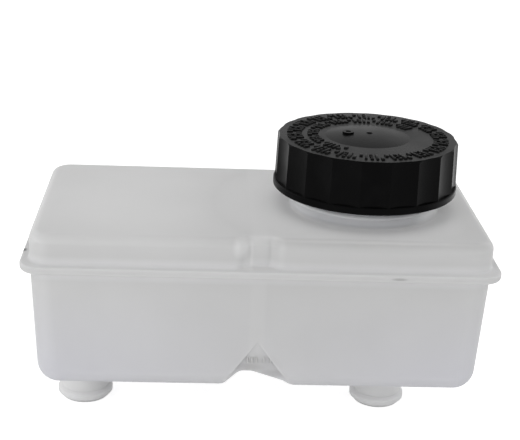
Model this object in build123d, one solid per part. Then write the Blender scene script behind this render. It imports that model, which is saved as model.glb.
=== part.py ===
"""Brake fluid reservoir: a moulded two-part tank with a screw cap.

A drafted tub and a shallow lid are welded together at a flange that runs all round. The tub stands
on two barbed outlet spigots, its floor rises over a saddle in the middle, and a hollow fold stands on
the saddle and parts the tank into two chambers. The lid carries the filler neck, with a strainer
hanging in it and a faceted cap over it.

Millimetres, +Z up. The origin lies under the middle of the flange, level with the spigots' tips. The
tank is long in X, the filler neck is towards +X and the front is towards -Y.
"""

import os
from math import cos, radians, sin, tan

from build123d import *

# Tank walls, measured outside where the tub meets the lid
tank_length = 130.0
tank_depth = 67.0
wall = 2.2
tub_height = 37.5
tub_draft = 2.5
tub_edge_radius = 6.4
lid_height = 9.6
lid_corner_radius = 6.0
lid_edge_radius = 2.5

# Weld flange
flange_overhang = 2.4
flange_thickness = 1.15
flange_corner_radius = 6.0
flange_top_edge = 0.5
flange_bottom_edge = 0.9
flange_root_radius = 0.8

# Fold that parts the chambers, and the groove in the lid's front wall in line with it
fold_x = -1.0
fold_thickness = 4.2
fold_gap = 1.2
fold_draft = 0.4
lid_window_width = 16.0
groove_floor_width = 5.6
groove_flare = 3.2
groove_depth = 2.5
groove_mouth_radius = 3.0
groove_floor_radius = 1.2

# Saddle under the fold: steep on its left side, gentle on its right as far as a shoulder
saddle_height = 6.3
saddle_left_run = 6.2
saddle_roof_left = -4.4
saddle_roof_width = 3.4
saddle_shoulder_run = 9.2
saddle_shoulder_height = 3.1
saddle_right_run = 4.8
saddle_roof_radius = 3.0
saddle_foot_radius = 6.0

# Gable-shaped recess in the front wall above the saddle
gable_height = 9.7
gable_apex_offset = 0.3
gable_left_reach = 6.7
gable_right_reach = 7.1
gable_depth = 1.5

# Outlet spigots, placed from the ends of the tank
left_outlet_inset = 12.7
right_outlet_inset = 25.4
outlet_length = 17.8
outlet_neck_radius = 7.4
outlet_barb_radius = 8.45
outlet_tip_radius = 7.2
outlet_bore_radius = 4.0
outlet_lead_in = 1.4
outlet_barb_land = 1.2
outlet_root_radius = 1.5
outlet_funnel_radius = 6.0

# Filler neck, placed from the right end of the tank, with a ledge inside for the strainer
neck_inset = 34.0
neck_outer_radius = 21.8
neck_wall = 2.2
neck_ledge = 2.0
neck_height = 17.3
neck_root_radius = 1.0
neck_bead_height = 3.1
neck_bead_radius = 0.7
neck_rim_chamfer = 0.4

# Strainer basket
strainer_clearance = 0.2
strainer_wall = 1.2
strainer_rim_thickness = 1.4
strainer_depth = 24.0
strainer_taper = 3.0
strainer_slot_count = 12
strainer_slot_width = 2.6
strainer_slot_height = 11.0
strainer_slot_rise = 5.0

# Cap: its bore leaves room for the thread, and the grip steps in from the ring at its foot
cap_facets = 20
cap_phase = 8.0
cap_gap = 5.9
cap_thread_room = 2.5
cap_wall = 2.95
cap_ring_step = 0.2
cap_grip_lean = 0.45
cap_facet_hollow = 0.4
cap_ring_height = 2.1
cap_roof = 2.5
cap_edge_chamfer = 0.5
dish_radius = 10.7
dish_depth = 1.5

# Marks in the cap's dish: a hollow stub left of the axis and a gate pip beside it
stub_radius = 1.7
stub_bore_radius = 0.8
stub_height = 1.3
stub_offset = -5.8
pip_radius = 1.3
pip_tip_radius = 0.4
pip_height = 0.9
pip_offset = 0.5

# Seal inside the cap
seal_thickness = 1.4
seal_clearance = 0.4
seal_membrane = 0.9
seal_land = 3.6
seal_cup_slope = 5.0
seal_cup_depth = 3.0

# Places along the tank
left_outlet_x = left_outlet_inset - tank_length / 2
right_outlet_x = tank_length / 2 - right_outlet_inset
neck_x = tank_length / 2 - neck_inset

# Radii that fit each other, from the neck outwards and inwards
neck_bore_radius = neck_outer_radius - neck_wall
neck_seat_radius = neck_bore_radius - neck_ledge
cap_bore_radius = neck_outer_radius + cap_thread_room
cap_ring_radius = cap_bore_radius + cap_wall
cap_foot_radius = cap_ring_radius - cap_ring_step
cap_top_radius = cap_foot_radius - cap_grip_lean
seal_membrane_radius = neck_bore_radius - seal_land
seal_cup_radius = seal_membrane_radius - seal_cup_slope

# Heights from the spigots' tips upwards
floor_z = outlet_length
joint_z = floor_z + tub_height
lid_top_z = joint_z + lid_height
neck_rim_z = lid_top_z + neck_height
cap_foot_z = lid_top_z + cap_gap
cap_roof_z = neck_rim_z + seal_thickness
cap_top_z = cap_roof_z + cap_roof


def drafted_box(length, depth, height, radius):
    """Box below the joint plane that narrows downwards, rounded on its sides and its floor edges."""
    plane = Plane(origin=(0, 0, joint_z), z_dir=(0, 0, -1))
    body = extrude(plane * Rectangle(length, depth), amount=height, taper=tub_draft)
    open_edges = body.edges().group_by(Axis.Z)[-1]
    rounded = [edge for edge in body.edges() if edge not in open_edges]
    return fillet(rounded, radius)


def saddle_section():
    """Closed outline in X and Z of the space under the saddle, with its feet and roof rounded."""
    roof_left = fold_x + saddle_roof_left
    roof_right = roof_left + saddle_roof_width
    shoulder_x = roof_right + saddle_shoulder_run
    foot_left = roof_left - saddle_left_run
    foot_right = shoulder_x + saddle_right_run
    below = floor_z - saddle_height
    outline = Polyline(
        (foot_left - saddle_height, below),
        (foot_left - saddle_height, floor_z),
        (foot_left, floor_z),
        (roof_left, floor_z + saddle_height),
        (roof_right, floor_z + saddle_height),
        (shoulder_x, floor_z + saddle_shoulder_height),
        (foot_right, floor_z),
        (foot_right + saddle_height, floor_z),
        (foot_right + saddle_height, below),
        close=True,
    )
    section = make_face(outline)
    raised = [v for v in section.vertices() if v.Y > floor_z + 0.01]
    section = fillet(raised, saddle_roof_radius)
    on_floor = [v for v in section.vertices() if abs(v.Y - floor_z) < 0.01]
    feet = [v for v in on_floor if foot_left - 1 < v.X < foot_right + 1]
    return fillet(feet, saddle_foot_radius)


def saddle_space(grown=0.0):
    """The space under the saddle, through the whole depth of the tank, grown all round by a wall."""
    section = saddle_section()
    if grown:
        section = offset(section, amount=grown)
    return extrude(Plane.XZ * section, amount=tank_depth, both=True)


def gable_space(grown=0.0):
    """Recess in the front wall: a gable in front view, deepest where it meets the saddle's roof."""
    roof_z = floor_z + saddle_height
    apex_z = roof_z + gable_height
    apex_x = fold_x + gable_apex_offset
    slope_left = gable_left_reach / gable_height
    slope_right = gable_right_reach / gable_height
    drop = gable_height + saddle_height
    front_view = make_face(
        Polyline(
            (apex_x, apex_z + grown),
            (apex_x - slope_left * (drop + grown), roof_z - saddle_height),
            (apex_x + slope_right * (drop + grown), roof_z - saddle_height),
            close=True,
        )
    )
    gable = extrude(Plane.XZ * front_view, amount=tank_depth)
    front_y = -tank_depth / 2 + (joint_z - apex_z) * tan(radians(tub_draft))
    lean = gable_depth / gable_height
    side_view = make_face(
        Polyline(
            (-tank_depth, apex_z + grown),
            (front_y + grown, apex_z + grown),
            (front_y + grown + lean * (drop + grown), roof_z - saddle_height),
            (-tank_depth, roof_z - saddle_height),
            close=True,
        )
    )
    return gable & extrude(Plane.YZ * side_view, amount=tank_length / 4, both=True)


def flange_plate(edge_radius):
    """One half of the weld flange, as a plate that stands on its plane with its top edge rounded."""
    length = tank_length + 2 * flange_overhang
    depth = tank_depth + 2 * flange_overhang
    plate = extrude(RectangleRounded(length, depth, flange_corner_radius), amount=flange_thickness)
    return fillet(plate.edges().group_by(Axis.Z)[-1], edge_radius)


def round_flange_root(shell, height):
    """Rounds the inner corner all round, where the walls meet the flange at this height."""
    reach_x = (tank_length + flange_overhang) / 2
    reach_y = (tank_depth + flange_overhang) / 2
    roots = []
    for edge in shell.edges():
        box = edge.bounding_box()
        level = abs(box.min.Z - height) < 0.001 and abs(box.max.Z - height) < 0.001
        within = max(-box.min.X, box.max.X) < reach_x and max(-box.min.Y, box.max.Y) < reach_y
        if level and within:
            roots.append(edge)
    return fillet(roots, flange_root_radius)


def outlet_spigot():
    """Barbed spigot about the Z axis with its tip at Z 0, up to the inside of the floor."""
    barb_z = outlet_lead_in + outlet_barb_land
    shoulder_z = barb_z + outlet_barb_radius - outlet_neck_radius
    root_reach = outlet_neck_radius + outlet_root_radius
    outline = Polyline(
        (0, 0),
        (outlet_tip_radius, 0),
        (outlet_barb_radius, outlet_lead_in),
        (outlet_barb_radius, barb_z),
        (outlet_neck_radius, shoulder_z),
        (outlet_neck_radius, floor_z - outlet_root_radius),
    )
    root = RadiusArc(outline @ 1, (root_reach, floor_z), -outlet_root_radius)
    back = Polyline(root @ 1, (root_reach, floor_z + wall / 2), (0, floor_z + wall / 2), (0, 0))
    return revolve(Plane.XZ * make_face([*outline.edges(), root, *back.edges()]), axis=Axis.Z)


def outlet_passage():
    """Bore of a spigot, opening into a funnel at the inside of the floor."""
    top_z = floor_z + wall
    funnel_z = top_z - (outlet_funnel_radius - outlet_bore_radius) / 2
    profile = Polyline(
        (0, -wall),
        (outlet_bore_radius, -wall),
        (outlet_bore_radius, funnel_z),
        (outlet_funnel_radius, top_z),
        (outlet_funnel_radius, top_z + wall),
        (0, top_z + wall),
        close=True,
    )
    return revolve(Plane.XZ * make_face(profile), axis=Axis.Z)


def fold_block():
    """Outside of the fold between the chambers, from the floor to the joint plane."""
    size = (fold_thickness, tank_depth - wall, tub_height - wall)
    return Pos(fold_x, 0, joint_z - size[2] / 2) * Box(*size)


def fold_slot():
    """The fold's hollow, open into the saddle below and drafted so that it leaves the mould."""
    height = tub_height - saddle_height - wall
    foot = Pos(fold_x, 0, floor_z + saddle_height / 2) * Rectangle(fold_gap, tank_depth - 4 * wall)
    return extrude(foot, amount=height + saddle_height / 2, taper=fold_draft)


def lower_shell():
    """The tub, with its flange, saddle, fold and outlets."""
    outer = drafted_box(tank_length, tank_depth, tub_height, tub_edge_radius)
    outer -= saddle_space()
    outer -= gable_space()
    inner = drafted_box(
        tank_length - 2 * wall, tank_depth - 2 * wall, tub_height - wall, tub_edge_radius - wall
    )
    inner -= saddle_space(wall)
    inner -= gable_space(wall)
    inner -= fold_block()
    flange = Pos(0, 0, joint_z) * Rot(180, 0, 0) * flange_plate(flange_bottom_edge)
    outer = round_flange_root(outer + flange, joint_z - flange_thickness)
    shell = outer - inner - fold_slot()
    for x in (left_outlet_x, right_outlet_x):
        shell += Pos(x, 0, 0) * outlet_spigot()
    for x in (left_outlet_x, right_outlet_x):
        shell -= Pos(x, 0, 0) * outlet_passage()
    return shell


def lid_groove():
    """Plan of the space that the groove takes from the lid's front wall."""
    front_y = -tank_depth / 2
    floor_half = groove_floor_width / 2
    end_half = floor_half + 2 * groove_flare
    plan = make_face(
        Polyline(
            (fold_x - end_half, front_y - groove_depth),
            (fold_x - floor_half, front_y + groove_depth),
            (fold_x + floor_half, front_y + groove_depth),
            (fold_x + end_half, front_y - groove_depth),
            close=True,
        )
    )
    return fillet([v for v in plan.vertices() if v.Y > front_y], groove_floor_radius)


def lid_outline():
    """Plan of the lid's walls: a rounded rectangle with a shallow groove in its front."""
    plan = RectangleRounded(tank_length, tank_depth, lid_corner_radius) - lid_groove()
    mouth_half = groove_floor_width / 2 + groove_flare
    mouths = [v for v in plan.vertices() if abs(abs(v.X - fold_x) - mouth_half) < 0.01]
    return fillet(mouths, groove_mouth_radius)


def filler_neck():
    """Outside of the neck about the Z axis, from the inside of the lid's roof to its rim."""
    root_reach = neck_outer_radius + neck_root_radius
    foot = Polyline((0, lid_top_z - wall), (root_reach, lid_top_z - wall), (root_reach, lid_top_z))
    root = RadiusArc(foot @ 1, (neck_outer_radius, lid_top_z + neck_root_radius), neck_root_radius)
    rest = Polyline(
        root @ 1,
        (neck_outer_radius, neck_rim_z - neck_rim_chamfer),
        (neck_outer_radius - neck_rim_chamfer, neck_rim_z),
        (0, neck_rim_z),
        (0, lid_top_z - wall),
    )
    profile = make_face([*foot.edges(), root, *rest.edges()])
    body = revolve(Plane.XZ * profile, axis=Axis.Z)
    return body + Pos(0, 0, lid_top_z + neck_bead_height) * Torus(neck_outer_radius, neck_bead_radius)


def neck_opening():
    """The neck's bore, with the narrower seat that the strainer rests on."""
    bore = Pos(0, 0, lid_top_z) * Cylinder(neck_bore_radius, neck_height + wall, align=bottom_centre)
    seat = Pos(0, 0, lid_top_z - 2 * wall) * Cylinder(neck_seat_radius, 3 * wall, align=bottom_centre)
    return bore + seat


def lid_ribs():
    """Two ribs that carry the fold's line up to the roof, with a window for the fluid between them."""
    height = lid_height - wall / 2
    ribs = []
    for side, wall_y in ((-1, tank_depth / 2 - groove_depth), (1, tank_depth / 2)):
        length = wall_y - wall / 2 - lid_window_width / 2
        centre_y = lid_window_width / 2 + length / 2
        rib = Box(fold_thickness, length, height, align=bottom_centre)
        ribs.append(Pos(fold_x, side * centre_y, joint_z) * rib)
    return ribs


def upper_shell():
    """The lid, with its flange, groove, ribs and filler neck."""
    plan = lid_outline()
    body = extrude(Pos(0, 0, joint_z) * plan, amount=lid_height)
    body = fillet(body.edges().group_by(Axis.Z)[-1], lid_edge_radius)
    body += Pos(0, 0, joint_z) * flange_plate(flange_top_edge)
    body = round_flange_root(body, joint_z + flange_thickness)
    body += Pos(neck_x, 0, 0) * filler_neck()
    hollow = extrude(Pos(0, 0, joint_z) * offset(plan, amount=-wall), amount=lid_height - wall)
    body -= hollow
    body -= Pos(neck_x, 0, 0) * neck_opening()
    for rib in lid_ribs():
        body += rib
    return body


def strainer():
    """Basket that hangs in the neck by its rim, slotted all round and closed at the bottom."""
    rim_radius = neck_bore_radius - strainer_clearance
    top_radius = neck_seat_radius - strainer_clearance
    foot_radius = top_radius - (strainer_depth - wall) * tan(radians(strainer_taper))
    rim_top = lid_top_z + strainer_rim_thickness
    foot_z = lid_top_z - strainer_depth
    profile = Polyline(
        (0, foot_z),
        (foot_radius, foot_z),
        (top_radius, lid_top_z - wall),
        (top_radius, lid_top_z),
        (rim_radius, lid_top_z),
        (rim_radius, rim_top),
        (top_radius - strainer_wall, rim_top),
        (top_radius - strainer_wall, lid_top_z - wall),
        (foot_radius - strainer_wall, foot_z + strainer_wall),
        (0, foot_z + strainer_wall),
        close=True,
    )
    basket = revolve(Plane.XZ * make_face(profile), axis=Axis.Z)
    slot = Box(4 * strainer_wall, strainer_slot_width, strainer_slot_height, align=bottom_centre)
    slot_z = foot_z + strainer_slot_rise
    for turn in range(strainer_slot_count):
        angle = 360 / strainer_slot_count * (turn + 0.5)
        basket -= Rot(0, 0, angle) * Pos(foot_radius - strainer_wall / 2, 0, slot_z) * slot
    return Pos(neck_x, 0, 0) * basket


def grip_section(radius):
    """Plan of the cap's grip: ridges on a circle of this radius with a shallow hollow between them."""
    step = 360 / cap_facets
    middle_radius = radius * cos(radians(step / 2)) - cap_facet_hollow
    sides = []
    for facet in range(cap_facets):
        start = radians(cap_phase + facet * step)
        middle = start + radians(step / 2)
        end = start + radians(step)
        sides.append(
            ThreePointArc(
                (radius * cos(start), radius * sin(start)),
                (middle_radius * cos(middle), middle_radius * sin(middle)),
                (radius * cos(end), radius * sin(end)),
            )
        )
    return make_face(sides)


def cap():
    """Screw cap: faceted grip over a plain ring, with a dished top, a hollow stub and a pip."""
    foot = Pos(0, 0, cap_foot_z) * grip_section(cap_foot_radius)
    top = Pos(0, 0, cap_top_z) * grip_section(cap_top_radius)
    grip = loft([foot, top], ruled=True)
    edge = make_face(
        Polyline(
            (0, cap_foot_z),
            (cap_ring_radius, cap_foot_z),
            (cap_ring_radius, cap_top_z - cap_ring_radius + cap_top_radius - cap_edge_chamfer),
            (cap_top_radius - cap_edge_chamfer, cap_top_z),
            (0, cap_top_z),
            close=True,
        )
    )
    grip &= revolve(Plane.XZ * edge, axis=Axis.Z)
    ring = Cylinder(cap_ring_radius, cap_ring_height, align=bottom_centre)
    ring = chamfer(ring.edges(), cap_edge_chamfer / 2)
    body = grip + Pos(0, 0, cap_foot_z) * ring
    body -= Pos(0, 0, cap_foot_z) * Cylinder(cap_bore_radius, cap_roof_z - cap_foot_z, align=bottom_centre)
    dish_curve = (dish_radius**2 + dish_depth**2) / (2 * dish_depth)
    body -= Pos(0, 0, cap_top_z - dish_depth + dish_curve) * Sphere(dish_curve)
    return Pos(neck_x, 0, 0) * (body + cap_marks())


def cap_marks():
    """The hollow stub and the conical pip, rising from the dish."""
    root_z = cap_top_z - dish_depth
    stub = Cylinder(stub_radius, dish_depth + stub_height, align=bottom_centre)
    stub -= Pos(0, 0, dish_depth) * Cylinder(stub_bore_radius, stub_height, align=bottom_centre)
    pip = Cone(pip_radius, pip_tip_radius, pip_height, align=bottom_centre)
    return Pos(stub_offset, 0, root_z) * stub + Pos(pip_offset, 0, root_z) * pip


def cap_seal():
    """Rubber seal under the cap's roof: a flat ring on the neck's rim round a cupped membrane."""
    radius = cap_bore_radius - seal_clearance
    low_z = neck_rim_z
    top_z = cap_roof_z
    cup_z = low_z - seal_cup_depth
    profile = Polyline(
        (0, cup_z),
        (seal_cup_radius, cup_z),
        (seal_membrane_radius, low_z),
        (radius, low_z),
        (radius, top_z),
        (seal_membrane_radius - seal_membrane, top_z),
        (seal_cup_radius - seal_membrane / 2, cup_z + seal_membrane),
        (0, cup_z + seal_membrane),
        close=True,
    )
    return Pos(neck_x, 0, 0) * revolve(Plane.XZ * make_face(profile), axis=Axis.Z)


bottom_centre = (Align.CENTER, Align.CENTER, Align.MIN)

parts = {
    "lower_shell": lower_shell(),
    "upper_shell": upper_shell(),
    "strainer": strainer(),
    "cap": cap(),
    "cap_seal": cap_seal(),
}
os.makedirs("parts", exist_ok=True)
for name, shape in parts.items():
    export_step(shape, f"parts/{name}.step")
    print(name, "solids", len(shape.solids()), "volume", round(shape.volume))
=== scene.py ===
"""Looks of the brake fluid reservoir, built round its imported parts.

The shells, strainer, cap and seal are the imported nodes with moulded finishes. This script adds what is
too fine for them: the screw threads, the raised rings on the cap's top, the gauze in the strainer and
the ribs in the front recess. It also lays a shallow dome over the dish in the cap's top. It then sets
up the floor, the light and the camera.

Metres, +Z up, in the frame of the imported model: the tank is long in X and its front faces -Y.
"""

import logging
import math
from collections.abc import Callable
from dataclasses import dataclass
from enum import Enum

import bpy
from mathutils import Matrix, Vector


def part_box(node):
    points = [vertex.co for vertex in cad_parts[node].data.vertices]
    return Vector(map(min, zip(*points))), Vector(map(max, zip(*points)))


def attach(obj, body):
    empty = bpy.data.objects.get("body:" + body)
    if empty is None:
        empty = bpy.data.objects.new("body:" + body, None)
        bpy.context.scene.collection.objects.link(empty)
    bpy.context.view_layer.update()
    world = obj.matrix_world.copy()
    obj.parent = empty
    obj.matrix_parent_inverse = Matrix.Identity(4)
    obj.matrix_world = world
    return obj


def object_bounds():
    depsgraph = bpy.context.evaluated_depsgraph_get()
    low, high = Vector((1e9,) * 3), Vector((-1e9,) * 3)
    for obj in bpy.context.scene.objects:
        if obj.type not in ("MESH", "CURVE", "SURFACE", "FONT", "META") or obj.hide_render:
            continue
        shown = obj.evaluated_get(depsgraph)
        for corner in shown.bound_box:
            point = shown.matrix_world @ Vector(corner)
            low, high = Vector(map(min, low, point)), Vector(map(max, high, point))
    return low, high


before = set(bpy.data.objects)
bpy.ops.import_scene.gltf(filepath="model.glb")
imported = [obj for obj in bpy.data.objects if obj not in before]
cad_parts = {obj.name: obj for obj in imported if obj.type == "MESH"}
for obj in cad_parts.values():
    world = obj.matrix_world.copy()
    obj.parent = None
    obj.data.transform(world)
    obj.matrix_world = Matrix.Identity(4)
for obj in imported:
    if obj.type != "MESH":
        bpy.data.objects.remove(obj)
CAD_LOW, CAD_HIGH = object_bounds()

MM = 0.001

Colour = tuple[float, float, float]
Place = tuple[float, float, float]
Span = tuple[float, float]

log = logging.getLogger("reservoir")


class Body(Enum):
    """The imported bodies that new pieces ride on."""

    TANK = "tank"
    CAP = "cap"


class Slot(Enum):
    """Names of the record's material slots that new pieces are built with; finish doesn't use them."""

    NATURAL = "natural_plastic"
    WHITE = "white_plastic"
    BLACK = "black_plastic"


class Tone(Enum):
    """Colours of the marks on the shells: near black for dark spots, painted shade, and painted light."""

    NICK = (0.05, 0.05, 0.05)
    SHADE = (0.20, 0.20, 0.19)
    BRIGHT = (0.86, 0.86, 0.86)


@dataclass(frozen=True)
class Layout:
    """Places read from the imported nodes, and the few sizes that their boxes don't give."""

    neck_radius: float = 21.8 * MM
    neck_height: float = 17.3 * MM
    cap_bore_radius: float = 24.3 * MM
    stub_height: float = 1.3 * MM
    fold: float = -1.0 * MM
    thread_height: float = 1.6 * MM
    neck_thread_drop: float = 7.6 * MM
    cap_thread_drop: float = 10.1 * MM

    @property
    def cap_axis(self) -> Vector:
        """Point on the cap's axis at the height of its foot."""
        low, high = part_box("cap")
        return Vector(((low.x + high.x) / 2, (low.y + high.y) / 2, low.z))

    @property
    def cap_top(self) -> float:
        """Height of the cap's flat top, under the stub."""
        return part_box("cap")[1].z - self.stub_height

    @property
    def neck_rim(self) -> float:
        """Height of the filler neck's rim."""
        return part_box("upper_shell")[1].z

    @property
    def lid_top(self) -> float:
        """Height of the lid's flat top."""
        return self.neck_rim - self.neck_height

    @property
    def joint(self) -> float:
        """Height of the plane where tub and lid are welded."""
        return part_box("lower_shell")[1].z


@dataclass(frozen=True)
class Pattern:
    """A noise pattern: features per metre, octaves, the noise's span that it fades over, and its stretch."""

    scale: float
    detail: float
    edge: Span = (0.3, 0.7)
    stretch: Place = (1.0, 1.0, 1.0)


@dataclass(frozen=True)
class Relief:
    """A noise relief: features per metre, octaves, depth in metres, and share of the effect."""

    scale: float
    detail: float
    depth: float
    strength: float


class Wiring:
    """A material's node tree, with short calls for the nodes that the finishes use."""

    spot_edge: Span = (0.4, 1.0)

    def __init__(self, name: str) -> None:
        """Starts an empty material.

        Args:
            name: Name of the material.
        """
        self.material = bpy.data.materials.new(name)
        self.material.use_nodes = True
        self.tree = self.material.node_tree
        self.tree.nodes.clear()
        self.output = self.add("ShaderNodeOutputMaterial")

    def add(self, kind: str, **sockets: object) -> bpy.types.Node:
        """Adds a node and sets its sockets.

        Args:
            kind: The node's type.
            sockets: Values or other nodes' outputs, by socket name with _ for a space.

        Returns:
            The new node.
        """
        node = self.tree.nodes.new(kind)
        for name, value in sockets.items():
            self.feed(node.inputs[name.replace("_", " ")], value)
        return node

    def feed(self, socket: bpy.types.NodeSocket, value: object) -> None:
        """Links an output to a socket, or sets the socket's own value.

        Args:
            socket: The input.
            value: An output socket, a number or a tuple.
        """
        if isinstance(value, bpy.types.NodeSocket):
            self.tree.links.new(value, socket)
        else:
            socket.default_value = value

    def coordinates(self) -> bpy.types.NodeSocket:
        """Object coordinates, in metres."""
        return self.add("ShaderNodeTexCoord").outputs["Object"]

    def noise(self, scale: float, detail: float, stretch: Place = (1.0, 1.0, 1.0)) -> bpy.types.NodeSocket:
        """A noise field over the object.

        Args:
            scale: Features per metre.
            detail: Octaves.
            stretch: Scale along each axis.

        Returns:
            The noise's value output.
        """
        mapping = self.add("ShaderNodeMapping", Vector=self.coordinates(), Scale=stretch)
        field = self.add("ShaderNodeTexNoise", Vector=mapping.outputs["Vector"], Scale=scale, Detail=detail)
        return field.outputs["Fac"]

    def radius(self, axis: Vector) -> bpy.types.NodeSocket:
        """Distance from an upright axis.

        Args:
            axis: Point on the axis.

        Returns:
            The distance's output, in metres.
        """
        flat = self.add("ShaderNodeVectorMath")
        flat.operation = "MULTIPLY"
        self.feed(flat.inputs[0], self.coordinates())
        self.feed(flat.inputs[1], (1.0, 1.0, 0.0))
        away = self.add("ShaderNodeVectorMath")
        away.operation = "DISTANCE"
        self.feed(away.inputs[0], flat.outputs["Vector"])
        self.feed(away.inputs[1], (axis.x, axis.y, 0.0))
        return away.outputs["Value"]

    def span(
        self, value: bpy.types.NodeSocket, low: float, high: float, to_low: float, to_high: float
    ) -> bpy.types.NodeSocket:
        """Maps a value from one span to another, held at its ends.

        Args:
            value: What is mapped.
            low: Start of the span that it comes from.
            high: End of that span.
            to_low: Start of the span that it goes to.
            to_high: End of that span.

        Returns:
            The mapped value's output.
        """
        node = self.add("ShaderNodeMapRange", Value=value)
        for name, number in zip(("From Min", "From Max", "To Min", "To Max"), (low, high, to_low, to_high)):
            node.inputs[name].default_value = number
        return node.outputs["Result"]

    def rise(self, value: bpy.types.NodeSocket, edge: Span) -> bpy.types.NodeSocket:
        """A share that goes from 0 to 1 as a value crosses an edge."""
        return self.span(value, *edge, 0.0, 1.0)

    def fall(self, value: bpy.types.NodeSocket, edge: Span) -> bpy.types.NodeSocket:
        """A share that goes from 1 to 0 as a value crosses an edge."""
        return self.span(value, *edge, 1.0, 0.0)

    def pattern(self, pattern: Pattern, low: float = 0.0, high: float = 1.0) -> bpy.types.NodeSocket:
        """A noise pattern between two values.

        Args:
            pattern: What the pattern is like.
            low: Value where the noise is weak.
            high: Value where it is strong.

        Returns:
            The pattern's output.
        """
        field = self.noise(pattern.scale, pattern.detail, pattern.stretch)
        return self.span(field, *pattern.edge, low, high)

    def math(self, operation: str, *values: object) -> bpy.types.NodeSocket:
        """One sum.

        Args:
            operation: The Math node's operation.
            values: Its numbers or outputs.

        Returns:
            The result's output.
        """
        node = self.add("ShaderNodeMath")
        node.operation = operation
        for socket, value in zip(node.inputs, values):
            self.feed(socket, value)
        return node.outputs["Value"]

    def blend(self, factor: object, first: object, second: object) -> bpy.types.NodeSocket:
        """Mixes two colours.

        Args:
            factor: Share of the second colour.
            first: Colour or output.
            second: Colour or output.

        Returns:
            The mixed colour's output.
        """
        node = self.add("ShaderNodeMix")
        node.data_type = "RGBA"
        colour_a, colour_b = [s for s in node.inputs if s.type == "RGBA"]
        self.feed(node.inputs["Factor"], factor)
        for socket, value in ((colour_a, first), (colour_b, second)):
            self.feed(socket, (*value, 1.0) if isinstance(value, tuple) else value)
        return next(s for s in node.outputs if s.type == "RGBA")

    def bump(
        self, height: bpy.types.NodeSocket, distance: float, strength: float, under: object = None
    ) -> bpy.types.NodeSocket:
        """Adds relief to the surface.

        Args:
            height: The relief.
            distance: Its depth in metres.
            strength: Share of the effect.
            under: Normal of the relief below this one, if any.

        Returns:
            The normal's output.
        """
        node = self.add("ShaderNodeBump", Height=height, Distance=distance, Strength=strength)
        if under is not None:
            self.feed(node.inputs["Normal"], under)
        return node.outputs["Normal"]

    def relief(self, relief: Relief, under: object = None) -> bpy.types.NodeSocket:
        """Adds a noise relief to the surface.

        Args:
            relief: What the relief is like.
            under: Normal of the relief below this one, if any.

        Returns:
            The normal's output.
        """
        return self.bump(self.noise(relief.scale, relief.detail), relief.depth, relief.strength, under)

    def spot(self, place: Vector, reach: Vector) -> bpy.types.NodeSocket:
        """A soft spot: 1 at its middle and 0 outside.

        Args:
            place: Its middle.
            reach: Half its length along each axis.

        Returns:
            The spot's value output.
        """
        offset = self.add("ShaderNodeVectorMath")
        offset.operation = "SUBTRACT"
        self.feed(offset.inputs[0], self.coordinates())
        self.feed(offset.inputs[1], tuple(place))
        scaled = self.add("ShaderNodeVectorMath")
        scaled.operation = "DIVIDE"
        self.feed(scaled.inputs[0], offset.outputs["Vector"])
        self.feed(scaled.inputs[1], tuple(reach))
        length = self.add("ShaderNodeVectorMath")
        length.operation = "LENGTH"
        self.feed(length.inputs[0], scaled.outputs["Vector"])
        return self.fall(length.outputs["Value"], self.spot_edge)


@dataclass(frozen=True)
class Mark:
    """A soft spot of another tone, such as a dark spot, painted shade in a corner or a painted highlight,
    with its place and half its length along each axis in millimetres, and its share of the tone."""

    place: Place
    reach: Place
    strength: float
    tone: Tone


# Soft spots on the shells, each laid over those before it: two dark spots, then painted shade and painted
# light
# Two small near-black spots on the shells
DARK_SPOTS = (
    Mark((-67.3, -22.5, 56.0), (1.3, 1.8, 1.2), 0.90, Tone.NICK),
    Mark((37.8, -35.9, 55.4), (2.7, 0.9, 0.5), 0.28, Tone.NICK),
)
# Painted shade along the lid's front edge, dimming the light on its rounding
LID_FRONT_EDGE = (
    Mark((0.0, -32.2, 64.2), (76.0, 2.6, 2.8), 0.08, Tone.SHADE),
    Mark((31.0, -32.2, 64.2), (44.0, 2.6, 2.8), 0.13, Tone.SHADE),
)
# Painted shade on the lid's right end and painted light on its left part
LID_TOP = (
    Mark((63.0, -4.0, 64.9), (16.0, 44.0, 6.0), 0.12, Tone.SHADE),
    Mark((-34.0, 0.0, 64.9), (44.0, 48.0, 4.0), 0.20, Tone.BRIGHT),
)
# Painted shade over the middle and right of the front wall
FRONT_WALL = (Mark((20.0, -33.0, 44.0), (46.0, 5.0, 34.0), 0.05, Tone.SHADE),)
# Painted light on the lid beside the neck, lifting the shadow of the cap
BESIDE_NECK = (
    Mark((51.0, -13.0, 65.2), (8.5, 15.0, 6.0), 0.46, Tone.BRIGHT),
    Mark((8.0, -12.0, 65.2), (9.0, 16.0, 6.0), 0.26, Tone.BRIGHT),
)
# Painted shade on the tank's left front corner
LEFT_CORNER = (Mark((-68.0, -26.0, 42.0), (8.0, 18.0, 34.0), 0.10, Tone.SHADE),)
# Painted highlights on the left side of the groove in the lid's front wall
GROOVE_SIDE = (
    Mark((-5.8, -32.5, 62.6), (3.4, 3.5, 3.8), 0.40, Tone.BRIGHT),
    Mark((-3.4, -32.5, 60.0), (0.9, 3.5, 8.0), 0.20, Tone.BRIGHT),
    Mark((-4.2, -32.5, 57.8), (1.8, 3.5, 3.2), 0.25, Tone.BRIGHT),
)
# Painted shade in the front recess
FRONT_RECESS = (
    Mark((-0.2, -31.5, 25.0), (8.0, 3.5, 6.0), 0.12, Tone.SHADE),
    Mark((-2.8, -31.0, 25.4), (4.8, 3.5, 1.7), 0.20, Tone.SHADE),
    Mark((4.6, -31.0, 23.2), (4.4, 3.5, 1.7), 0.18, Tone.SHADE),
)
SHELL_MARKS = (
    DARK_SPOTS + LID_FRONT_EDGE + LID_TOP + FRONT_WALL + BESIDE_NECK + LEFT_CORNER + GROOVE_SIDE + FRONT_RECESS
)


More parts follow.
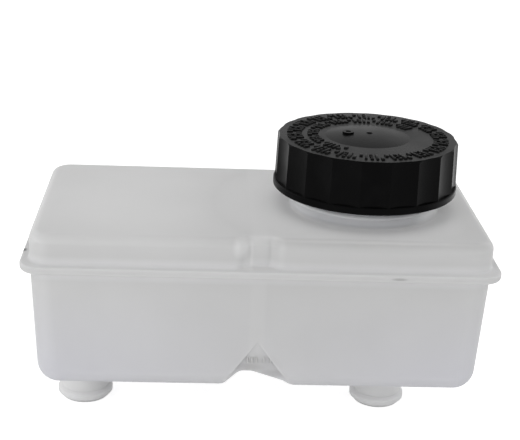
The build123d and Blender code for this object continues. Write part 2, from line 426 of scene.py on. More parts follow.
@dataclass(frozen=True)
class NaturalPlastic:
    """Milky translucent plastic of the shells, lit through its thin walls, with painted light and shade in
    its colour.

    The spans say where a tone fades in or out: along X from the tank's middle (tint_ends) or from the
    fold (fold_edge), up the tank (tint_heights, spigot_top), up from the lid's top (lid_flat, collar_foot,
    collar_top), out from the neck's axis (root_edge, lit_reach, collar_edge), and away from the weld
    (weld_edge, crease_foot, crease_edge, thick_edge).
    """

    layout: Layout
    name: str = "natural_plastic"
    colour: Colour = (0.655, 0.655, 0.655)
    cloudy: Colour = (0.62, 0.62, 0.62)
    low_tint: Colour = (0.63, 0.63, 0.68)
    # Painted light: a paler strip over the fold, where the partition behind the wall lets light through
    fold_light: Colour = (0.66, 0.66, 0.66)
    weld: Colour = (0.655, 0.655, 0.655)
    # Painted light in the creases beside the flange, lifting the shade there
    crease_light: Colour = (0.695, 0.695, 0.70)
    # Painted light on the lid round the neck, lifting the shadow of the cap
    lit: Colour = (0.84, 0.84, 0.84)
    # Painted shade on the neck's foot under the cap
    collar_shade: Colour = (0.53, 0.535, 0.55)
    # Painted light on the spigots, lifting the shade near the floor
    spigot_light: Colour = (0.75, 0.75, 0.75)
    depth: float = 2.4 * MM
    weld_depth: float = 0.2 * MM
    roughness: float = 0.55
    gloss_spread: Span = (-0.05, 0.07)
    ior: float = 1.49
    specular: float = 0.08
    clouds: Pattern = Pattern(22.0, 3.0, (0.35, 0.65))
    gloss: Pattern = Pattern(90.0, 4.0)
    waves: Relief = Relief(45.0, 1.0, 0.12 * MM, 0.35)
    grain: Relief = Relief(900.0, 2.0, 0.02 * MM, 0.25)
    tint_ends: Span = (8.0 * MM, 60.0 * MM)
    tint_heights: Span = (18.0 * MM, 50.0 * MM)
    tint_middle: float = 0.35
    tint_share: float = 0.8
    fold_edge: Span = (1.575 * MM, 2.625 * MM)
    fold_share: float = 0.5
    spigot_top: Span = (14.0 * MM, 17.5 * MM)
    lid_flat: Span = (0.25 * MM, 0.7 * MM)
    root_edge: Span = (22.0 * MM, 23.0 * MM)
    lit_reach: Span = (26.0 * MM, 45.0 * MM)
    collar_edge: Span = (22.3 * MM, 23.3 * MM)
    collar_foot: Span = (0.0 * MM, 0.6 * MM)
    collar_top: Span = (4.0 * MM, 8.0 * MM)
    weld_edge: Span = (0.9 * MM, 2.4 * MM)
    crease_foot: Span = (0.9 * MM, 1.5 * MM)
    crease_edge: Span = (2.2 * MM, 3.8 * MM)
    thick_edge: Span = (1.6 * MM, 4.5 * MM)
    marks: tuple[Mark, ...] = ()

    def wall_tone(self, wires: Wiring, place: bpy.types.Node) -> bpy.types.NodeSocket:
        """Colour of the walls: cloudy, bluish low down, with painted light over the fold and on the spigots.

        Args:
            wires: The material's tree.
            place: Node that gives X, Y and Z.

        Returns:
            The colour's output.
        """
        across, up = place.outputs["X"], place.outputs["Z"]
        tone = wires.blend(wires.pattern(self.clouds), self.cloudy, self.colour)
        ends = wires.span(wires.math("ABSOLUTE", across), *self.tint_ends, self.tint_middle, 1.0)
        sunk = wires.span(up, *self.tint_heights, self.tint_share, 0.0)
        tone = wires.blend(wires.math("MULTIPLY", sunk, ends), tone, self.low_tint)
        aside = wires.math("ABSOLUTE", wires.math("SUBTRACT", across, self.layout.fold))
        tone = wires.blend(wires.span(aside, *self.fold_edge, self.fold_share, 0.0), tone, self.fold_light)
        return wires.blend(wires.fall(up, self.spigot_top), tone, self.spigot_light)

    def neck_tone(
        self, wires: Wiring, place: bpy.types.Node, tone: bpy.types.NodeSocket
    ) -> bpy.types.NodeSocket:
        """Paints light on the lid round the neck, lifting the cap's shadow, and paints shade on the neck's
        foot, where the black cap takes the light.

        Args:
            wires: The material's tree.
            place: Node that gives X, Y and Z.
            tone: Colour that these tones lie on.

        Returns:
            The colour's output.
        """
        radius = wires.radius(self.layout.cap_axis)
        above = wires.math("SUBTRACT", place.outputs["Z"], self.layout.lid_top)
        outside, close = wires.rise(radius, self.root_edge), wires.fall(radius, self.lit_reach)
        near = wires.math("MULTIPLY", outside, close)
        flat = wires.fall(wires.math("ABSOLUTE", above), self.lid_flat)
        tone = wires.blend(wires.math("MULTIPLY", near, flat), tone, self.lit)
        under, over = wires.fall(above, self.collar_top), wires.rise(above, self.collar_foot)
        foot = wires.math("MULTIPLY", under, over)
        collar_shade = wires.math("MULTIPLY", foot, wires.fall(radius, self.collar_edge))
        return wires.blend(collar_shade, tone, self.collar_shade)

    def flange_tone(
        self, wires: Wiring, away: bpy.types.NodeSocket, tone: bpy.types.NodeSocket
    ) -> bpy.types.NodeSocket:
        """Gives the weld flange its even tone and paints light into the creases beside it, lifting their
        shade.

        Args:
            wires: The material's tree.
            away: Distance from the plane where the shells are welded.
            tone: Colour that these tones lie on.

        Returns:
            The colour's output.
        """
        tone = wires.blend(wires.fall(away, self.weld_edge), tone, self.weld)
        past, near = wires.rise(away, self.crease_foot), wires.fall(away, self.crease_edge)
        return wires.blend(wires.math("MULTIPLY", past, near), tone, self.crease_light)

    def material(self) -> bpy.types.Material:
        """Builds the material.

        Returns:
            The finished material.
        """
        wires = Wiring(self.name)
        place = wires.add("ShaderNodeSeparateXYZ", Vector=wires.coordinates())
        away = wires.math("ABSOLUTE", wires.math("SUBTRACT", place.outputs["Z"], self.layout.joint))
        tone = self.neck_tone(wires, place, self.wall_tone(wires, place))
        tone = self.flange_tone(wires, away, tone)
        for mark in self.marks:
            spot = wires.spot(Vector(mark.place) * MM, Vector(mark.reach) * MM)
            tone = wires.blend(wires.math("MULTIPLY", spot, mark.strength), tone, mark.tone.value)
        glossy, dull = (self.roughness + change for change in self.gloss_spread)
        gloss = wires.pattern(self.gloss, glossy, dull)
        normal = wires.relief(self.grain, under=wires.relief(self.waves))
        shader = wires.add("ShaderNodeBsdfPrincipled", Base_Color=tone, Roughness=gloss, Normal=normal)
        depth = wires.span(away, *self.thick_edge, self.weld_depth, self.depth)
        wires.feed(shader.inputs["Subsurface Scale"], depth)
        shader.inputs["IOR"].default_value = self.ior
        shader.inputs["Specular IOR Level"].default_value = self.specular
        shader.inputs["Subsurface Weight"].default_value = 1.0
        shader.inputs["Subsurface Radius"].default_value = (1.0, 1.0, 1.0)
        wires.feed(wires.output.inputs["Surface"], shader.outputs["BSDF"])
        return wires.material


@dataclass(frozen=True)
class SatinPlastic:
    """Opaque moulded plastic with a fine spark-eroded grain, dust and faint streaks."""

    name: str
    colour: Colour
    worn: Colour
    roughness: float
    specular: float
    gloss_spread: float = 0.06
    streak_share: float = 0.6
    dust: Pattern = Pattern(160.0, 5.0, (0.45, 0.75))
    streaks: Pattern = Pattern(120.0, 3.0, (0.4, 0.7), stretch=(1.0, 1.0, 0.15))
    gloss: Pattern = Pattern(60.0, 3.0)
    grain: Relief = Relief(1400.0, 3.0, 0.03 * MM, 0.5)

    def material(self) -> bpy.types.Material:
        """Builds the material.

        Returns:
            The finished material.
        """
        wires = Wiring(self.name)
        dust, streaks = wires.pattern(self.dust), wires.pattern(self.streaks, high=self.streak_share)
        tone = wires.blend(wires.math("MAXIMUM", dust, streaks), self.colour, self.worn)
        normal = wires.relief(self.grain)
        glossy, dull = self.roughness - self.gloss_spread, self.roughness + self.gloss_spread
        gloss = wires.pattern(self.gloss, glossy, dull)
        shader = wires.add("ShaderNodeBsdfPrincipled", Base_Color=tone, Roughness=gloss, Normal=normal)
        shader.inputs["Specular IOR Level"].default_value = self.specular
        wires.feed(wires.output.inputs["Surface"], shader.outputs["BSDF"])
        return wires.material


@dataclass(frozen=True)
class Gauze:
    """Woven nylon gauze, patterned round the neck's axis."""

    name: str = "strainer_gauze"
    thread: Colour = (0.78, 0.78, 0.75)
    gap: Colour = (0.22, 0.22, 0.21)
    pitch: float = 0.7 * MM
    radius: float = 16.0 * MM
    thread_edge: Span = (0.55, 0.9)
    relief_depth: float = 0.15 * MM
    relief_strength: float = 0.8
    roughness: float = 0.55

    def material(self, axis: Vector) -> bpy.types.Material:
        """Builds the material.

        Args:
            axis: Point on the axis that the weave runs round.

        Returns:
            The finished material.
        """
        wires = Wiring(self.name)
        parts = wires.add("ShaderNodeSeparateXYZ", Vector=wires.coordinates())
        across = wires.math("SUBTRACT", parts.outputs["X"], axis.x)
        along = wires.math("SUBTRACT", parts.outputs["Y"], axis.y)
        arc = wires.math("MULTIPLY", wires.math("ARCTAN2", along, across), self.radius)
        rate = math.pi / self.pitch
        warp = wires.math("ABSOLUTE", wires.math("SINE", wires.math("MULTIPLY", arc, rate)))
        height = wires.math("MULTIPLY", parts.outputs["Z"], rate)
        weft = wires.math("ABSOLUTE", wires.math("SINE", height))
        weave = wires.math("MAXIMUM", warp, weft)
        tone = wires.blend(wires.rise(weave, self.thread_edge), self.gap, self.thread)
        normal = wires.bump(weave, self.relief_depth, self.relief_strength)
        shader = wires.add("ShaderNodeBsdfPrincipled", Base_Color=tone, Normal=normal)
        shader.inputs["Roughness"].default_value = self.roughness
        wires.feed(wires.output.inputs["Surface"], shader.outputs["BSDF"])
        return wires.material


class Workbench:
    """Calls that select, shape and finish one mesh at a time."""

    merge_distance: float = 0.001 * MM
    open_end_sides: int = 12
    smooth_degrees: float = 35.0

    @staticmethod
    def clear() -> None:
        """Leaves edit mode and deselects every object."""
        if bpy.context.object and bpy.context.object.mode != "OBJECT":
            bpy.ops.object.mode_set(mode="OBJECT")
        bpy.ops.object.select_all(action="DESELECT")

    @staticmethod
    def take(*objects: bpy.types.Object) -> None:
        """Selects objects, with the first one active.

        Args:
            objects: What to select.
        """
        Workbench.clear()
        for piece in objects:
            piece.select_set(True)
        bpy.context.view_layer.objects.active = objects[0]

    @staticmethod
    def edit(piece: bpy.types.Object) -> None:
        """Enters edit mode on one object with nothing selected.

        Args:
            piece: The object.
        """
        Workbench.take(piece)
        bpy.ops.object.mode_set(mode="EDIT")
        bpy.ops.mesh.select_all(action="DESELECT")

    @staticmethod
    def pick(piece: bpy.types.Object, wanted: Callable[[Vector], bool]) -> None:
        """Selects the vertices at some places, in edit mode.

        Args:
            piece: The object being edited.
            wanted: Says whether a place is selected.
        """
        bpy.ops.object.mode_set(mode="OBJECT")
        for vertex in piece.data.vertices:
            vertex.select = wanted(vertex.co)
        for edge in piece.data.edges:
            edge.select = all(piece.data.vertices[i].select for i in edge.vertices)
        for face in piece.data.polygons:
            face.select = all(piece.data.vertices[i].select for i in face.vertices)
        bpy.ops.object.mode_set(mode="EDIT")

    @staticmethod
    def modify(piece: bpy.types.Object, kind: str, **settings: object) -> None:
        """Adds a modifier and applies it.

        Args:
            piece: The object.
            kind: The modifier's type.
            settings: Its properties.
        """
        Workbench.take(piece)
        bpy.ops.object.modifier_add(type=kind)
        modifier = piece.modifiers[-1]
        for name, value in settings.items():
            setattr(modifier, name, value)
        bpy.ops.object.modifier_apply(modifier=modifier.name)

    @staticmethod
    def close(piece: bpy.types.Object) -> None:
        """Merges doubles, fills open ends and turns the faces outwards.

        Args:
            piece: The object.
        """
        Workbench.edit(piece)
        bpy.ops.mesh.select_all(action="SELECT")
        bpy.ops.mesh.remove_doubles(threshold=Workbench.merge_distance)
        bpy.ops.mesh.fill_holes(sides=Workbench.open_end_sides)
        bpy.ops.mesh.select_all(action="SELECT")
        bpy.ops.mesh.normals_make_consistent(inside=False)
        bpy.ops.object.mode_set(mode="OBJECT")

    @staticmethod
    def finish(
        piece: bpy.types.Object, name: str, body: Body, slot: Slot, material: bpy.types.Material
    ) -> bpy.types.Object:
        """Names, places, smooths and dresses a piece, and makes it ride on its body.

        Args:
            piece: The object.
            name: Its name.
            body: What it rides on.
            slot: The record's slot meant for its finish; not used.
            material: Its material.

        Returns:
            The same object.
        """
        Workbench.take(piece)
        bpy.ops.object.transform_apply(location=True, rotation=True, scale=True)
        bpy.ops.object.shade_smooth_by_angle(angle=math.radians(Workbench.smooth_degrees))
        piece.name = piece.data.name = name
        piece.data.materials.clear()
        piece.data.materials.append(material)
        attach(piece, body.value)
        log.info("%s: %d faces on %s", name, len(piece.data.polygons), body.value)
        return piece


@dataclass
class ScrewThread:
    """A helical ridge of trapezoid section with run-outs at both ends.

    Its ends sink below the wall by end_sink of the ridge's height. What is moved there lies within
    end_reach of the ridge's width in height and end_tolerance along the helix, and pulls the rest of
    the ridge along as far as runout.
    """

    name: str
    body: Body
    slot: Slot
    root_radius: float
    crest_radius: float
    start_height: float
    turns: float
    lead: float = 5.0 * MM
    root_width: float = 2.1 * MM
    crest_width: float = 0.9 * MM
    steps_per_turn: int = 72
    runout: float = 6.0 * MM
    end_sink: float = 0.1
    end_reach: float = 0.6
    end_tolerance: float = 0.05 * MM

    def build(self, axis: Vector, material: bpy.types.Material) -> bpy.types.Object:
        """Models the thread round an axis.

        Args:
            axis: Point on the axis; its height isn't used.
            material: The plastic that the thread is moulded in.

        Returns:
            The finished piece.
        """
        Workbench.clear()
        parting = (self.root_radius + self.crest_radius) / 2
        start = (parting, 0, self.start_height)
        bpy.ops.mesh.primitive_plane_add(size=1.0, location=start, rotation=(math.pi / 2, 0, 0))
        ridge = bpy.context.object
        ridge.scale = (abs(self.crest_radius - self.root_radius), self.root_width, 1.0)
        bpy.ops.object.transform_apply(location=True, rotation=True, scale=True)
        Workbench.edit(ridge)
        outward = self.crest_radius > self.root_radius
        Workbench.pick(ridge, lambda place: (place.x > parting) == outward)
        crest = (self.crest_radius, 0, self.start_height)
        bpy.ops.transform.resize(value=(1, 1, self.crest_width / self.root_width), center_override=crest)
        bpy.ops.mesh.select_all(action="SELECT")
        bpy.ops.mesh.delete(type="ONLY_FACE")
        bpy.ops.object.mode_set(mode="OBJECT")
        steps = round(self.steps_per_turn * self.turns)
        Workbench.modify(
            ridge,
            "SCREW",
            angle=2 * math.pi * self.turns,
            screw_offset=self.lead * self.turns,
            steps=steps,
            render_steps=steps,
            use_smooth_shade=False,
        )
        Workbench.close(ridge)
        self.run_out(ridge)
        Workbench.take(ridge)
        bpy.ops.transform.translate(value=(axis.x, axis.y, 0))
        return Workbench.finish(ridge, self.name, self.body, self.slot, material)

    def run_out(self, ridge: bpy.types.Object) -> None:
        """Sinks both ends of the ridge into the wall that carries it.

        Args:
            ridge: The ridge, round the Z axis.
        """
        bottom = self.root_radius - (self.crest_radius - self.root_radius) * self.end_sink
        sink = bottom / self.crest_radius
        heights = [vertex.co.z for vertex in ridge.data.vertices]
        low, high = min(heights) + self.root_width / 2, max(heights) - self.root_width / 2
        reach = self.root_width * self.end_reach
        for height, angle in ((low, 0.0), (high, 2 * math.pi * self.turns)):
            radial = Vector((math.cos(angle), math.sin(angle)))
            Workbench.edit(ridge)
            Workbench.pick(
                ridge,
                lambda place: abs(place.z - height) < reach
                and (place.xy - radial * place.xy.length).length < self.end_tolerance,
            )
            bpy.ops.transform.resize(
                value=(sink, sink, 1),
                center_override=(0, 0, height),
                use_proportional_edit=True,
                proportional_edit_falloff="SMOOTH",
                proportional_size=self.runout,
                use_proportional_connected=True,
            )
            bpy.ops.object.mode_set(mode="OBJECT")


@dataclass(frozen=True)
class MarkRing:
    """One ring of generic raised marks: the radius of its middle, the length of its bars, the count of
    its groups, and the part of a turn that it takes, in degrees."""

    radius: float
    length: float
    groups: int
    first: float
    last: float


@dataclass
class CapRings:
    """Rings of generic raised bars and studs on the land of the cap's top."""

    rings: tuple[MarkRing, ...] = (
        MarkRing(21.6 * MM, 4.4 * MM, 18, 0.0, 360.0),
        MarkRing(16.2 * MM, 3.2 * MM, 8, 32.0, 242.0),
    )
    bar_width: float = 0.8 * MM
    stud: float = 0.95 * MM
    rise: float = 0.4 * MM
    sink: float = 0.2 * MM
    spacing: float = 1.5 * MM
    rounding: float = 0.18 * MM
    short_share: float = 0.4
    short_widening: float = 1.2
    middle_stud_share: float = 0.8
    last_bar_step: float = 1.9

    def bar(self, radius: float, along: float, length: float, width: float, top: float) -> bpy.types.Object:
        """Models one bar near the X axis, rounded on top.

        Args:
            radius: Distance of the bar's middle from the cap's axis.
            along: How far round the ring the bar stands.
            length: Its size along the radius.
            width: Its size along the ring.
            top: Height of the cap's flat top.

        Returns:
            The bar, still an object of its own.
        """
        Workbench.clear()
        height = self.rise + self.sink
        turn = along / radius
        place = (radius * math.cos(turn), radius * math.sin(turn), top + self.rise - height / 2)
        bpy.ops.mesh.primitive_cube_add(size=1.0, location=place, rotation=(0, 0, turn))
        mark = bpy.context.object
        mark.scale = (length, width, height)
        bpy.ops.object.transform_apply(location=True, rotation=True, scale=True)
        Workbench.edit(mark)
        Workbench.pick(mark, lambda spot: spot.z > top)
        bpy.ops.mesh.bevel(offset=self.rounding, segments=2, affect="EDGES")
        bpy.ops.object.mode_set(mode="OBJECT")
        return mark

    def group(self, ring: MarkRing, top: float) -> bpy.types.Object:
        """Models one group: a bar, a column of studs, a bar, and a short bar out and one in.

        Args:
            ring: The ring that it belongs to.
            top: Height of the cap's flat top.

        Returns:
            The group, joined.
        """
        radius, shift, step = ring.radius, ring.length / 2 - self.stud / 2, self.spacing
        short, wide = ring.length * self.short_share, self.bar_width * self.short_widening
        inset = (ring.length - short) / 2
        bars = [
            self.bar(radius, -2.0 * step, ring.length, self.bar_width, top),
            self.bar(radius - shift, -step, self.stud, self.stud, top),
            self.bar(radius, -step, self.stud * self.middle_stud_share, self.stud, top),
            self.bar(radius + shift, -step, self.stud, self.stud, top),
            self.bar(radius, 0.0, ring.length, self.bar_width, top),
            self.bar(radius + inset, step, short, wide, top),
            self.bar(radius - inset, self.last_bar_step * step, short, wide, top),
        ]
        Workbench.take(*bars)
        bpy.ops.object.join()
        return bars[0]

    def ring(self, ring: MarkRing, top: float) -> bpy.types.Object:
        """Copies a group clockwise along its part of a turn round the Z axis.

        Args:
            ring: What the ring is like.
            top: Height of the cap's flat top.

        Returns:
            The ring.
        """
        marks = self.group(ring, top)
        step = math.radians(ring.last - ring.first) / ring.groups
        marks.rotation_euler = (0, 0, math.radians(ring.last) - step / 2)
        Workbench.take(marks)
        marks.location = Matrix.Rotation(marks.rotation_euler.z, 3, "Z") @ marks.location
        bpy.ops.object.transform_apply(location=True, rotation=True, scale=True)
        Workbench.edit(marks)
        bpy.ops.mesh.select_all(action="SELECT")
        bpy.ops.mesh.spin(
            steps=ring.groups - 1,
            dupli=True,
            angle=step * (ring.groups - 1),
            use_auto_merge=False,
            center=(0, 0, 0),
            axis=(0, 0, 1),
        )
        bpy.ops.object.mode_set(mode="OBJECT")
        return marks

    def build(self, layout: Layout, material: bpy.types.Material) -> bpy.types.Object:
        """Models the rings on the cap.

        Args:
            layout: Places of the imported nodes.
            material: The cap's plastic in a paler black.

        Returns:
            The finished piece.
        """
        rings = [self.ring(ring, layout.cap_top) for ring in self.rings]
        Workbench.take(*rings)
        bpy.ops.object.join()
        axis = layout.cap_axis
        bpy.ops.transform.translate(value=(axis.x, axis.y, 0))
        return Workbench.finish(rings[0], "cap_rings", Body.CAP, Slot.BLACK, material)


@dataclass
class CapDome:
    """Shallow dome in the middle of the cap's top, with the pip that the mould's gate left."""

    radius: float = 12.5 * MM
    rise: float = 1.0 * MM
    sink: float = 0.4 * MM
    rings: int = 12
    pip_offset: float = 0.5 * MM
    pip_radius: float = 1.6 * MM
    pip_tip_radius: float = 0.6 * MM
    pip_rounding: float = 0.24 * MM
    sides: int = 96
    pip_sides: int = 48

    def height(self, share: float) -> float:
        """Height of the dome's surface over its foot.

        Args:
            share: Distance from the axis, as a share of the radius.

        Returns:
            The height.
        """
        return self.rise * (1 - share**2)

    def build(self, layout: Layout, material: bpy.types.Material) -> bpy.types.Object:
        """Models the dome and its pip on the cap.

        Args:
            layout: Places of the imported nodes.
            material: The cap's plastic.

        Returns:
            The finished piece.
        """
        dome, pip = self.shell(layout.cap_top), self.pip(layout.cap_top, layout.stub_height)
        Workbench.take(dome, pip)
        bpy.ops.object.join()
        axis = layout.cap_axis
        bpy.ops.transform.translate(value=(axis.x, axis.y, 0))
        return Workbench.finish(dome, "cap_dome", Body.CAP, Slot.BLACK, material)

    def shell(self, top: float) -> bpy.types.Object:
        """Models the dome from a disc, inset ring by ring and raised.

        Args:
            top: Height of the cap's flat top.

        Returns:
            The dome, round the Z axis.
        """
        Workbench.clear()
        place = (0, 0, top - self.sink / 2)
        bpy.ops.mesh.primitive_cylinder_add(
            vertices=self.sides, radius=self.radius, depth=self.sink, location=place
        )
        dome = bpy.context.object
        bpy.ops.object.transform_apply(location=True, rotation=True, scale=True)
        Workbench.edit(dome)
        Workbench.pick(dome, lambda spot: spot.z > top - self.sink / 2)
        for ring in range(1, self.rings):
            climb = self.height(1 - ring / self.rings) - self.height(1 - (ring - 1) / self.rings)
            bpy.ops.mesh.inset(thickness=self.radius / self.rings)
            bpy.ops.transform.translate(value=(0, 0, climb))
        bpy.ops.object.mode_set(mode="OBJECT")
        return dome

    def pip(self, top: float, reach: float) -> bpy.types.Object:
        """Models the small cone beside the dome's middle.

        Args:
            top: Height of the cap's flat top.
            reach: How far the cone's tip stands above that.

        Returns:
            The pip, still an object of its own.
        """
        foot = self.height(self.pip_radius / self.radius) - self.sink
        Workbench.clear()
        bpy.ops.mesh.primitive_cone_add(
            vertices=self.pip_sides,
            radius1=self.pip_radius,
            radius2=self.pip_tip_radius,
            depth=reach - foot,
            location=(self.pip_offset, 0, top + (reach + foot) / 2),
        )
        pip = bpy.context.object
        bpy.ops.object.transform_apply(location=True, rotation=True, scale=True)
        Workbench.edit(pip)
        Workbench.pick(pip, lambda spot: spot.z > top + foot + (reach - foot) / 2)
        bpy.ops.mesh.bevel(offset=self.pip_rounding, segments=2, affect="EDGES")
        bpy.ops.object.mode_set(mode="OBJECT")
        return pip


@dataclass
class StrainerGauze:
    """Fine gauze that lines the strainer's slots."""

    top_radius: float = 16.05 * MM
    foot_radius: float = 15.1 * MM
    top_drop: float = 4.0 * MM
    foot_drop: float = 21.0 * MM
    thickness: float = 0.2 * MM
    sides: int = 96

    def build(self, layout: Layout, finish: Gauze) -> bpy.types.Object:
        """Models the gauze inside the basket.

        Args:
            layout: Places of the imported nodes.
            finish: The woven finish.

        Returns:
            The finished piece.
        """
        axis = layout.cap_axis
        top, foot = layout.lid_top - self.top_drop, layout.lid_top - self.foot_drop
        Workbench.clear()
        bpy.ops.mesh.primitive_cone_add(
            vertices=self.sides,
            radius1=self.foot_radius,
            radius2=self.top_radius,
            depth=top - foot,
            end_fill_type="NOTHING",
            location=(axis.x, axis.y, (top + foot) / 2),
        )
        sleeve = bpy.context.object
        Workbench.modify(sleeve, "SOLIDIFY", thickness=self.thickness, offset=-1.0)
        return Workbench.finish(sleeve, "strainer_gauze", Body.TANK, Slot.WHITE, finish.material(axis))


@dataclass
class GableRibs:
    """Row of short ribs in the gable-shaped recess of the front wall."""

    places: tuple[float, ...] = (-3.3 * MM, -2.0 * MM, -0.7 * MM, 1.4 * MM, 3.3 * MM)
    low: float = 26.9 * MM
    high: float = 29.3 * MM
    face_at_apex: float = -32.56 * MM
    apex: float = 33.8 * MM
    recess_depth: float = 1.5 * MM
    recess_height: float = 9.7 * MM
    width: float = 0.6 * MM
    rise: float = 0.22 * MM
    rounding: float = 0.18 * MM

    def build(self, material: bpy.types.Material) -> bpy.types.Object:
        """Models the ribs on the leaning face of the recess.

        Args:
            material: The tank's plastic, darker with painted shade.

        Returns:
            The finished piece.
        """
        ribs = [self.rib(place) for place in self.places]
        Workbench.take(*ribs)
        bpy.ops.object.join()
        return Workbench.finish(ribs[0], "gable_ribs", Body.TANK, Slot.NATURAL, material)

    def rib(self, place: float) -> bpy.types.Object:
        """Models one rounded rib.

        Args:
            place: Its middle along X.

        Returns:
            The rib, still an object of its own.
        """
        height = (self.low + self.high) / 2
        lean = self.recess_depth / self.recess_height
        face = self.face_at_apex + lean * (self.apex - height)
        Workbench.clear()
        slant = (-math.atan(lean), 0, 0)
        bpy.ops.mesh.primitive_cube_add(size=1.0, location=(place, face, height), rotation=slant)
        rib = bpy.context.object
        rib.scale = (self.width, 2 * self.rise, self.high - self.low)
        bpy.ops.object.transform_apply(location=True, rotation=True, scale=True)
        Workbench.edit(rib)
        bpy.ops.mesh.select_all(action="SELECT")
        bpy.ops.mesh.bevel(offset=self.rounding, segments=2, affect="EDGES")
        bpy.ops.object.mode_set(mode="OBJECT")
        return rib


@dataclass(frozen=True)
class Lamp:
    """A soft square lamp: its name, place, power in watts and side, and whether it lights surfaces or
    only shows in their gloss."""

    name: str
    place: Place
    power: float
    side: float
    lights: bool = True


@dataclass
class Studio:
    """Floor, world, lamps and camera. The camera's angles are in degrees."""

    ambient: float = 0.73
    floor_size: float = 4.0
    floor_tone: float = 0.88
    floor_shade: float = 0.532
    floor_glow: float = 0.78
    lamps: tuple[Lamp, ...] = (
        Lamp("key_lamp", (-0.36, -0.57, 0.22), 1.10, 0.35),
        Lamp("fill_lamp", (0.55, -0.30, 0.20), 0.10, 0.35),
        Lamp("left_lamp", (-0.50, 0.44, 0.20), 0.40, 0.35),
        Lamp("right_lamp", (0.58, 0.26, 0.12), 0.50, 0.30),
        Lamp("side_lamp", (-0.62, -0.04, 0.16), 3.00, 0.50, lights=False),
    )
    lens: float = 85.706
    sensor: float = 36.0
    near_clip: float = 0.01
    far_clip: float = 20.0
    eye: Vector = Vector((-18.951, -350.070, 186.36)) * MM
    pitch: float = 19.98
    yaw: float = 3.15
    roll: float = -2.50

    def backdrop_rays(self, tree: bpy.types.NodeTree) -> bpy.types.NodeSocket:
        """Share of a ray that should see the white backdrop: camera, glossy and transmission rays.

        Args:
            tree: The node tree that needs it.

        Returns:
            An output that is 1 on such rays and 0 on others.
        """
        path = tree.nodes.new("ShaderNodeLightPath")
        total = path.outputs["Is Camera Ray"]
        for name in ("Is Glossy Ray", "Is Transmission Ray"):
            either = tree.nodes.new("ShaderNodeMath")
            either.operation = "MAXIMUM"
            tree.links.new(total, either.inputs[0])
            tree.links.new(path.outputs[name], either.inputs[1])
            total = either.outputs["Value"]
        return total

    def world(self) -> None:
        """White for the camera and for gloss, and a plain soft grey for the light it gives."""
        world = bpy.data.worlds.new("studio")
        bpy.context.scene.world = world
        world.use_nodes = True
        tree = world.node_tree
        tree.nodes.clear()
        soft = tree.nodes.new("ShaderNodeBackground")
        soft.inputs["Color"].default_value = (1.0, 1.0, 1.0, 1.0)
        soft.inputs["Strength"].default_value = self.ambient
        white = tree.nodes.new("ShaderNodeBackground")
        white.inputs["Color"].default_value = (1.0, 1.0, 1.0, 1.0)
        mix = tree.nodes.new("ShaderNodeMixShader")
        output = tree.nodes.new("ShaderNodeOutputWorld")
        tree.links.new(self.backdrop_rays(tree), mix.inputs["Fac"])
        tree.links.new(soft.outputs["Background"], mix.inputs[1])
        tree.links.new(white.outputs["Background"], mix.inputs[2])
        tree.links.new(mix.outputs["Shader"], output.inputs["Surface"])

    def floor(self) -> None:
        """A plain pale floor that keeps a soft shadow."""
        Workbench.clear()
        bpy.ops.mesh.primitive_plane_add(size=self.floor_size, location=(0, 0, CAD_LOW.z))
        floor = bpy.context.object
        floor.name = "floor"
        wires = Wiring("floor_paper")
        pale = wires.add("ShaderNodeBsdfDiffuse", Color=(self.floor_tone,) * 3 + (1.0,))
        shadow = wires.add("ShaderNodeBsdfDiffuse", Color=(self.floor_shade,) * 3 + (1.0,))
        glow = wires.add("ShaderNodeEmission", Color=(1.0, 1.0, 1.0, 1.0), Strength=self.floor_glow)
        seen = wires.add("ShaderNodeAddShader")
        wires.feed(seen.inputs[0], shadow.outputs["BSDF"])
        wires.feed(seen.inputs[1], glow.outputs["Emission"])
        mix = wires.add("ShaderNodeMixShader", Fac=self.backdrop_rays(wires.tree))
        wires.feed(mix.inputs[1], pale.outputs["BSDF"])
        wires.feed(mix.inputs[2], seen.outputs["Shader"])
        wires.feed(wires.output.inputs["Surface"], mix.outputs["Shader"])
        floor.data.materials.append(wires.material)

    def light(self, lamp: Lamp) -> None:
        """Adds a lamp that looks at the middle of the tank.

        Args:
            lamp: What the lamp is like.
        """
        Workbench.clear()
        bpy.ops.object.light_add(type="AREA", location=lamp.place)
        light = bpy.context.object
        light.name = lamp.name
        light.data.energy = lamp.power
        light.data.size = lamp.side
        light.visible_diffuse = lamp.lights
        target = (CAD_LOW + CAD_HIGH) / 2
        light.rotation_euler = (target - Vector(lamp.place)).to_track_quat("-Z", "Y").to_euler()

    def camera(self) -> None:
        """Camera at the photograph's place, angle and lens."""
        Workbench.clear()
        bpy.ops.object.camera_add()
        camera = bpy.context.object
        camera.name = "photo_camera"
        camera.data.lens = self.lens
        camera.data.sensor_width = self.sensor
        camera.data.clip_start = self.near_clip
        camera.data.clip_end = self.far_clip
        pitch, yaw, roll = (math.radians(angle) for angle in (self.pitch, self.yaw, self.roll))
        ahead = math.cos(pitch)
        forward = Vector((math.sin(yaw) * ahead, math.cos(yaw) * ahead, -math.sin(pitch)))
        level = Vector((math.cos(yaw), -math.sin(yaw), 0.0))
        down = forward.cross(level)
        right = level * math.cos(roll) + down * math.sin(roll)
        drop = down * math.cos(roll) - level * math.sin(roll)
        turn = Matrix((right, -drop, -forward)).transposed()
        camera.matrix_world = Matrix.Translation(self.eye) @ turn.to_4x4()
        bpy.context.scene.camera = camera

    def build(self) -> None:
        """Sets up everything that isn't part of the object."""
        bpy.context.scene.view_settings.view_transform = "Standard"
        self.world()
        self.floor()
        for lamp in self.lamps:
            self.light(lamp)
        self.camera()


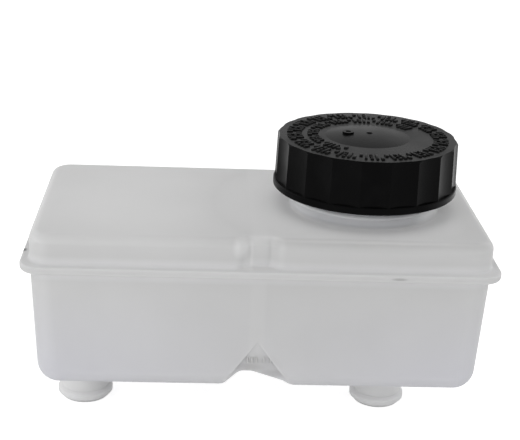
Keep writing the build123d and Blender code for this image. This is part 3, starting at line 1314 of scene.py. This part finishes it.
def dress(node: str, material: bpy.types.Material) -> None:
    """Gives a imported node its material.

    Args:
        node: The node's name.
        material: Its finish.
    """
    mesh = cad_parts[node].data
    mesh.materials.clear()
    mesh.materials.append(material)
    log.info("%s: packed node dressed in %s", node, material.name)


def main() -> None:
    """Builds the pieces in order and sets up the studio."""
    logging.basicConfig(level=logging.INFO, format="%(name)s: %(message)s")
    layout = Layout()
    natural = NaturalPlastic(layout, marks=SHELL_MARKS).material()
    # A darker copy of the shells' plastic for the ribs: painted shade on and between them
    shaded_ribs = NaturalPlastic(
        layout,
        name="rib_plastic_painted_shade",
        colour=(0.56, 0.56, 0.55),
        cloudy=(0.52, 0.52, 0.51),
        fold_light=(0.54, 0.54, 0.53),
        depth=0.2 * MM,
    ).material()
    black = SatinPlastic(
        "black_plastic", (0.0012, 0.0012, 0.0013), (0.0026, 0.0026, 0.0027), roughness=0.30, specular=0.036
    ).material()
    # A paler black for the rings on the cap's top
    paler_black = SatinPlastic(
        "paler_black_plastic", (0.007, 0.007, 0.007), (0.014, 0.014, 0.014), roughness=0.40, specular=0.036
    ).material()
    white = SatinPlastic(
        "white_plastic", (0.72, 0.72, 0.69), (0.66, 0.66, 0.63), roughness=0.42, specular=0.4
    ).material()
    rubber = SatinPlastic(
        "seal_rubber", (0.018, 0.018, 0.019), (0.03, 0.03, 0.03), roughness=0.7, specular=0.2
    ).material()
    for node in ("lower_shell", "upper_shell"):
        dress(node, natural)
    dress("strainer", white)
    dress("cap", black)
    dress("cap_seal", rubber)
    ScrewThread(
        "neck_thread",
        Body.TANK,
        Slot.NATURAL,
        root_radius=layout.neck_radius,
        crest_radius=layout.neck_radius + layout.thread_height,
        start_height=layout.neck_rim - layout.neck_thread_drop,
        turns=1.25,
    ).build(layout.cap_axis, natural)
    ScrewThread(
        "cap_thread",
        Body.CAP,
        Slot.BLACK,
        root_radius=layout.cap_bore_radius,
        crest_radius=layout.cap_bore_radius - layout.thread_height,
        start_height=layout.neck_rim - layout.cap_thread_drop,
        turns=1.45,
    ).build(layout.cap_axis, black)
    CapRings().build(layout, paler_black)
    CapDome().build(layout, black)
    StrainerGauze().build(layout, Gauze())
    GableRibs().build(shaded_ribs)
    Studio().build()


if __name__ == "__main__":
    main()
